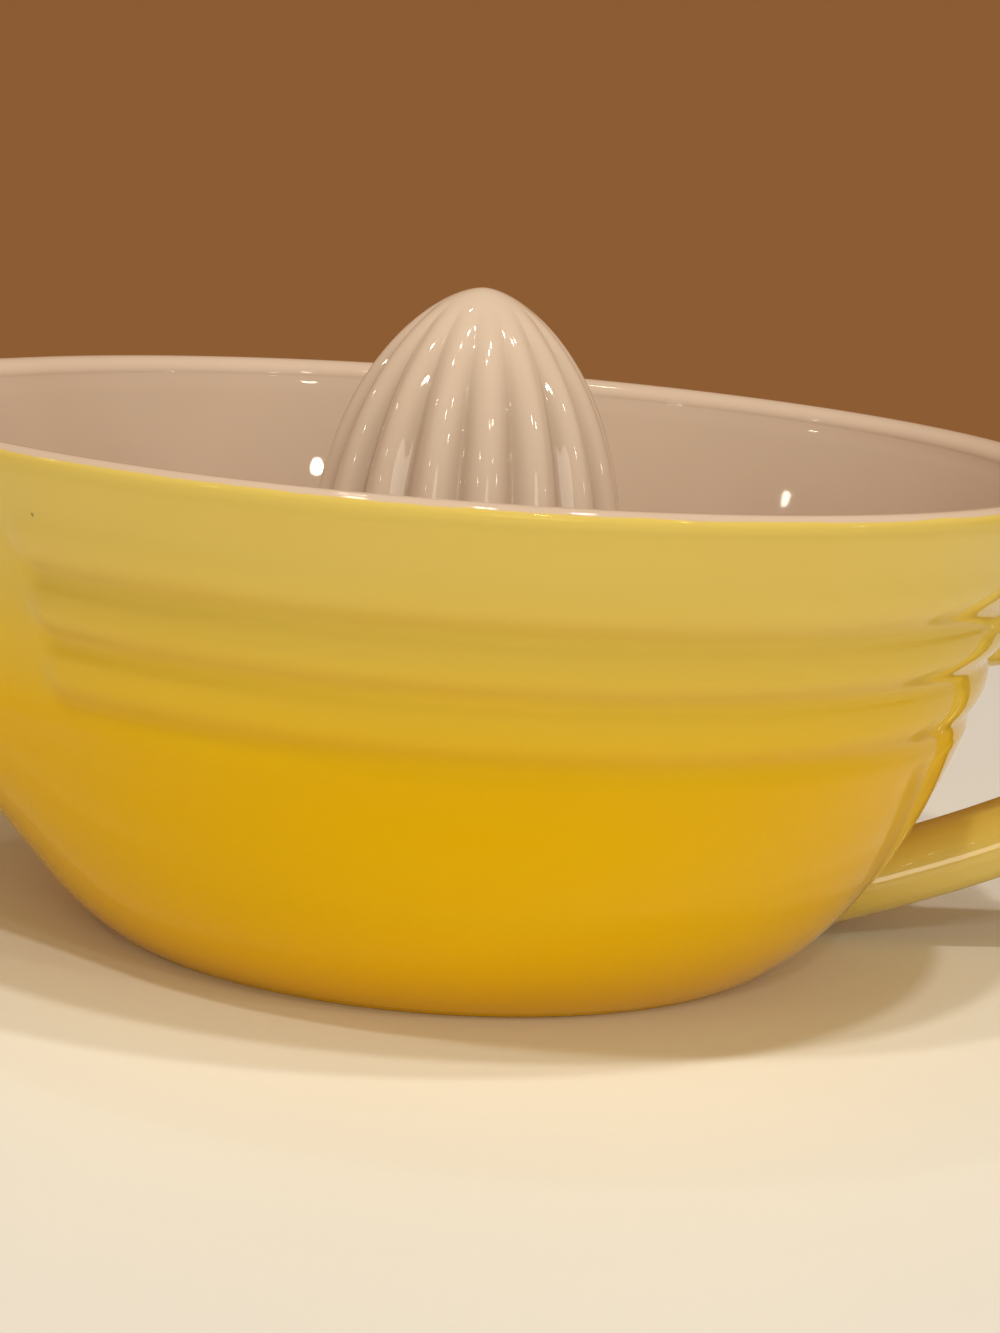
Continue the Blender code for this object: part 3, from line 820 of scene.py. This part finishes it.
def make_reamer():
    crest, hollow = reamer_outline()
    outline = np.concatenate([crest, hollow])
    on_crest = (np.arange(len(outline)) < len(crest))[:, None]
    radius, height = outline[:, :1], outline[:, 1:]
    columns = RIB_COUNT * COLUMNS_PER_RIB
    angle = np.linspace(0.0, 2 * math.pi, columns, endpoint=False)[None, :]
    below_tip = REAMER_HEIGHT - height - FLUTE_START_DEPTH
    grown = np.clip(below_tip / (FLUTE_FULL_DEPTH - FLUTE_START_DEPTH), 0, 1)
    depth = FLUTE_DEPTH * np.sin(grown * math.pi / 2)
    wave = np.sqrt(np.cos(angle * RIB_COUNT / 2) ** 2 + VALLEY_ROUNDING)
    valley = 1.0 - (wave / math.sqrt(1.0 + VALLEY_ROUNDING)) ** FLUTE_POWER
    flute = depth * valley * ease((height - FLOOR_HEIGHT) / FLUTE_FADE_HEIGHT)
    flare = fillet_flare(height - FLOOR_HEIGHT, REAMER_FILLET)
    calm_tip = ease((REAMER_HEIGHT - height) / CALM_TIP_DEPTH)
    uneven = REAMER_UNEVENNESS * wobble(angle, height, REAMER_SEED, REAMER_WAVES) * calm_tip
    new_radius = radius + np.where(on_crest, flare + uneven - flute, 0.0)
    new_height = np.broadcast_to(height, new_radius.shape)
    points = np.stack([new_radius * np.cos(angle), new_radius * np.sin(angle), new_height], axis=-1)
    poles = [(0.0, 0.0, REAMER_HEIGHT), (0.0, 0.0, REAMER_HEIGHT - REAMER_TIP_WALL)]
    # The flutes' depth share, which also masks the painted shade in them
    valleys = valley * on_crest * depth / FLUTE_DEPTH
    reamer = make_piece(
        "reamer_glazed",
        np.concatenate([points.reshape(-1, 3), poles]),
        tube_faces(len(outline), columns),
        {"valley": [*valleys.ravel(), 0.0, 0.0]},
        [cream_glaze()],
    )
    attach(reamer, "root")
    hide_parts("reamer")


# Handle: rows and columns of its mesh, its roots and its fillets
ROUTE_STEPS = 600
HANDLE_COLUMNS = 48
HANDLE_ROWS = 120
ROOT_SWELL_PART = 22
ROOT_SINK = 0.0003
ROOT_REACH = 0.006
END_DEPTH = 0.003
UPPER_FILLET = 0.0024
LOWER_FILLET = 0.0011
LOWER_FILLET_TOP = 0.006
FILLET_ROUNDS = 3
PROBE = 0.0002
WALL_CURVE_STEPS = 60

body_curve = bezier(BODY_CONTROLS, WALL_CURVE_STEPS)[::-1]


def wall_radius(height):
    """The bowl's outer radius away from the spout, rings included."""
    upper = plain_radius(height) + ring_relief(height)
    radii, heights = body_curve[:, 0], body_curve[:, 1]
    slope = (radii[1] - radii[0]) / (heights[1] - heights[0])
    below = BODY_BOTTOM_RADIUS + (height - BODY_BOTTOM_HEIGHT) * slope
    lower = np.where(height < BODY_BOTTOM_HEIGHT, below, np.interp(height, heights, radii))
    return np.where(height > BODY_TOP_HEIGHT, upper, lower)


def wall_distance(points):
    """Distance from the wall's outside, and the wall's outward direction there."""
    x, y, z = points[..., 0], points[..., 1], points[..., 2]
    flat = np.hypot(x, y)
    slope = (wall_radius(z + PROBE) - wall_radius(z - PROBE)) / (2 * PROBE)
    scale = 1.0 / np.sqrt(1.0 + slope**2)
    normal = np.stack([x / flat, y / flat, -slope], axis=-1) * scale[..., None]
    return (flat - wall_radius(z)) * scale, normal


def handle_root(height, rise):
    """Where an arm's middle line ends inside the wall, and its direction away from the bowl."""
    away = np.array([math.cos(rise), math.sin(rise)])
    plain = plain_radius(height) if height > LOW_GROOVE_HEIGHT else float(wall_radius(np.array(height)))
    return np.array([plain, height]) - away * WALL_THICKNESS, away


def handle_route():
    """The handle's middle line in its plane, the direction out of the loop, and the run so far."""
    upper, upper_away = handle_root(HANDLE_UPPER_ROOT_HEIGHT, HANDLE_UPPER_ARM_RISE)
    lower, lower_away = handle_root(HANDLE_LOWER_ROOT_HEIGHT, HANDLE_LOWER_ARM_RISE)
    upper_pull = upper + upper_away * HANDLE_UPPER_PULL
    lower_pull = lower + lower_away * HANDLE_LOWER_PULL
    route = bezier([upper, upper_pull, lower_pull, lower], ROUTE_STEPS)
    along = np.gradient(route, axis=0)
    along /= np.linalg.norm(along, axis=1)[:, None]
    out = np.stack([-along[:, 1], along[:, 0]], axis=1)
    run = np.concatenate([[0.0], np.cumsum(np.hypot(*np.diff(route, axis=0).T))])
    return route, out, run


def handle_surface():
    """Rings of points from wall to wall, and at each the direction out of the handle's middle."""
    route, out, run = handle_route()
    extra = HANDLE_UPPER_ROOT_THICKNESS / HANDLE_THICKNESS - 1.0
    swell = (1.0 + extra * (1.0 - ease(run / (run[-1] / ROOT_SWELL_PART))))[:, None]
    turn = np.linspace(0.0, 2 * math.pi, HANDLE_COLUMNS, endpoint=False)
    across, side = np.cos(turn), np.sin(turn)
    half = HANDLE_THICKNESS / 2 * swell
    x = route[:, :1] + out[:, :1] * half * across
    y = HANDLE_WIDTH / 2 * swell * side
    z = route[:, 1:] + out[:, 1:] * half * across
    lines = np.stack([x, y, z], axis=-1)
    distance, _ = wall_distance(lines)
    middle = ROUTE_STEPS // 2
    spread = (1.0 - np.cos(np.linspace(0.0, math.pi, HANDLE_ROWS))) / 2
    points = np.zeros((HANDLE_ROWS, HANDLE_COLUMNS, 3))
    outward = np.zeros((HANDLE_ROWS, HANDLE_COLUMNS, 3))
    for k in range(HANDLE_COLUMNS):
        sunk = distance[:, k] < -ROOT_SINK
        first = int(np.max(np.nonzero(sunk[:middle])[0], initial=0))
        last = middle + int(np.min(np.nonzero(sunk[middle:])[0], initial=middle))
        places = run[first] + (run[last] - run[first]) * spread
        for axis in range(3):
            points[:, k, axis] = np.interp(places, run, lines[:, k, axis])
        outward[:, k, 0] = np.interp(places, run, out[:, 0]) * across[k] / HANDLE_THICKNESS
        outward[:, k, 1] = side[k] / HANDLE_WIDTH
        outward[:, k, 2] = np.interp(places, run, out[:, 1]) * across[k] / HANDLE_THICKNESS
    outward /= np.linalg.norm(outward, axis=-1)[..., None]
    return points, outward


def spread_fillets(points, outward):
    """The rings near the wall spread along it as a fillet, and each point's distance from it."""
    gap, normal = wall_distance(points)
    sideways = outward - normal * np.sum(outward * normal, axis=-1)[..., None]
    sideways /= np.linalg.norm(sideways, axis=-1)[..., None]
    on_lower_root = (points[..., 2] < LOWER_FILLET_TOP) & (np.arange(HANDLE_ROWS)[:, None] > HANDLE_ROWS // 2)
    size = np.where(on_lower_root, LOWER_FILLET, UPPER_FILLET)
    points = points + sideways * fillet_flare(gap, size)[..., None]
    for _ in range(FILLET_ROUNDS):
        moved_gap, normal = wall_distance(points)
        points = points + normal * np.where(gap < size, gap - moved_gap, 0.0)[..., None]
    return points, gap


def make_handle():
    points, gap = spread_fillets(*handle_surface())
    _, normal = wall_distance(points)
    ends = [points[k].mean(axis=0) - END_DEPTH * normal[k].mean(axis=0) for k in (0, -1)]
    root = np.clip(1.0 - gap / ROOT_REACH, 0.0, 1.0)
    handle = make_piece(
        "handle_glazed",
        np.concatenate([points.reshape(-1, 3), ends]),
        tube_faces(HANDLE_ROWS, HANDLE_COLUMNS),
        {"root": [*root.ravel(), 1.0, 1.0]},
        [handle_glaze()],
    )
    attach(handle, "root")
    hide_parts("handle")


# Floor
FLOOR_RADIUS = 0.62
FLOOR_CORNERS = 128
FLOOR_COLOUR = (0.87, 0.88, 0.87)
FLOOR_PALER = (0.90, 0.91, 0.90)
FLOOR_ROUGHNESS = 0.55


def add_floor():
    material, nodes = new_material("floor")
    paler = nodes.patches(scale=6.0, low=0.3, high=0.7)
    nodes.feed(nodes.shader.inputs["Base Color"], nodes.mix(paler, FLOOR_COLOUR, FLOOR_PALER))
    nodes.feed(nodes.shader.inputs["Roughness"], FLOOR_ROUGHNESS)
    turn = np.linspace(0, 2 * math.pi, FLOOR_CORNERS, endpoint=False)
    ring = [(FLOOR_RADIUS * math.cos(a), FLOOR_RADIUS * math.sin(a), 0.0) for a in turn]
    mesh = bpy.data.meshes.new("floor")
    mesh.from_pydata(ring, [], [list(range(FLOOR_CORNERS))])
    mesh.materials.append(material)
    floor = bpy.data.objects.new("floor", mesh)
    bpy.context.scene.collection.objects.link(floor)


# Lamps: azimuth and elevation in degrees as seen from the bowl, watts and size. Azimuth 0 is
# straight in front of it and 90 at its right
LAMPS = {
    "ceiling_front": (-1, 73, 5.8, 0.08),
    "ceiling_right": (45, 74, 5.2, 0.08),
    "ceiling_left": (-40, 64, 4.4, 0.08),
    "ceiling_back": (-157, 72, 0.9, 0.08),
    "room_middle": (8, 39, 1.3, 0.10),
    "room_right": (36, 37, 1.2, 0.08),
    "far_left": (-53, 23, 0.35, 0.06),
    "far_right": (42, 24, 0.4, 0.06),
    "low_middle": (5, 14, 2.2, 0.5),
    "low_left": (-54, 16, 0.2, 0.05),
    "low_right": (66, 14, 0.3, 0.07),
    "side_left": (-94, 31, 0.35, 0.06),
}
LAMP_COLOUR = (1.0, 0.925, 0.79)
LAMP_DISTANCE = 1.6
LAMP_UP = Vector((0.0, 1.0, 0.01))


def add_lamp(name, azimuth, elevation, watts, size):
    """A round lamp that shines on the middle of the rim."""
    azimuth, elevation = math.radians(azimuth), math.radians(elevation)
    flat = math.cos(elevation)
    towards = Vector((flat * math.sin(azimuth), -flat * math.cos(azimuth), math.sin(elevation)))
    right = LAMP_UP.cross(towards).normalized()
    axes = Matrix((right, towards.cross(right), towards)).transposed()
    data = bpy.data.lights.new(name, "AREA")
    data.shape = "DISK"
    data.size = size
    data.energy = watts
    data.color = LAMP_COLOUR
    lamp = bpy.data.objects.new(name, data)
    place = AXIS + Vector((0.0, 0.0, RIM_HEIGHT)) + towards * LAMP_DISTANCE
    lamp.matrix_world = Matrix.Translation(place) @ axes.to_4x4()
    bpy.context.scene.collection.objects.link(lamp)


# World: colours, and between which parts of the view direction they change
BROWN_WALL = (0.262, 0.107, 0.034)
ROOM = (0.47, 0.425, 0.35)
CEILING = (0.20, 0.155, 0.11)
WALL_ENDS = 0.25
ROOM_STARTS = -0.35
CEILING_STARTS = 0.35
CEILING_FULL = 0.75


def add_world():
    """A brown wall behind, a bright room in front and a dim ceiling."""
    world = bpy.data.worlds.new("studio")
    bpy.context.scene.world = world
    world.use_nodes = True
    nodes = Nodes(world.node_tree)
    split = nodes.add("ShaderNodeSeparateXYZ")
    nodes.feed(split.inputs[0], nodes.add("ShaderNodeTexCoord").outputs["Generated"])
    colour = nodes.mix(nodes.span(split.outputs["Y"], WALL_ENDS, ROOM_STARTS), BROWN_WALL, ROOM)
    colour = nodes.mix(nodes.span(split.outputs["Z"], CEILING_STARTS, CEILING_FULL), colour, CEILING)
    nodes.feed(world.node_tree.nodes["Background"].inputs[0], colour)


# Camera, fitted to the photograph: the focal length in its pixels, places from the rim's middle
PICTURE_HEIGHT = 1333
FOCAL_PIXELS = 3103
SENSOR_WIDTH = 36.0
CLIP_START = 0.01
CLIP_END = 50.0
VIEW_TURN = math.radians(-6.5)
VIEW_DISTANCE = 5.137 * RIM_RADIUS
VIEW_ELEVATION = math.radians(6.126)
VIEW_ROLL = math.radians(-4.40)
VIEW_TARGET = Vector((0.0721, 0.0, -0.4044)) * RIM_RADIUS


def add_camera():
    turn = Matrix.Rotation(VIEW_TURN, 3, "Z")
    rim_centre = AXIS + Vector((0.0, 0.0, RIM_HEIGHT))
    start = Vector((0.0, -math.cos(VIEW_ELEVATION), math.sin(VIEW_ELEVATION))) * VIEW_DISTANCE
    forward = (VIEW_TARGET - start).normalized()
    right = forward.cross(Vector((0.0, 0.0, 1.0))).normalized()
    up = right.cross(forward)
    tilted_right = math.cos(VIEW_ROLL) * right - math.sin(VIEW_ROLL) * up
    tilted_up = math.sin(VIEW_ROLL) * right + math.cos(VIEW_ROLL) * up
    axes = Matrix((tilted_right, tilted_up, -forward)).transposed()
    data = bpy.data.cameras.new("camera")
    data.sensor_width = SENSOR_WIDTH
    data.lens = FOCAL_PIXELS / PICTURE_HEIGHT * SENSOR_WIDTH
    data.clip_start = CLIP_START
    data.clip_end = CLIP_END
    camera = bpy.data.objects.new("camera", data)
    camera.matrix_world = Matrix.Translation(rim_centre + turn @ start) @ (turn @ axes).to_4x4()
    bpy.context.scene.collection.objects.link(camera)
    bpy.context.scene.camera = camera


make_bowl()
make_reamer()
make_handle()
add_floor()
for lamp_name, settings in LAMPS.items():
    add_lamp(lamp_name, *settings)
add_world()
add_camera()
bpy.context.scene.view_settings.view_transform = "Standard"
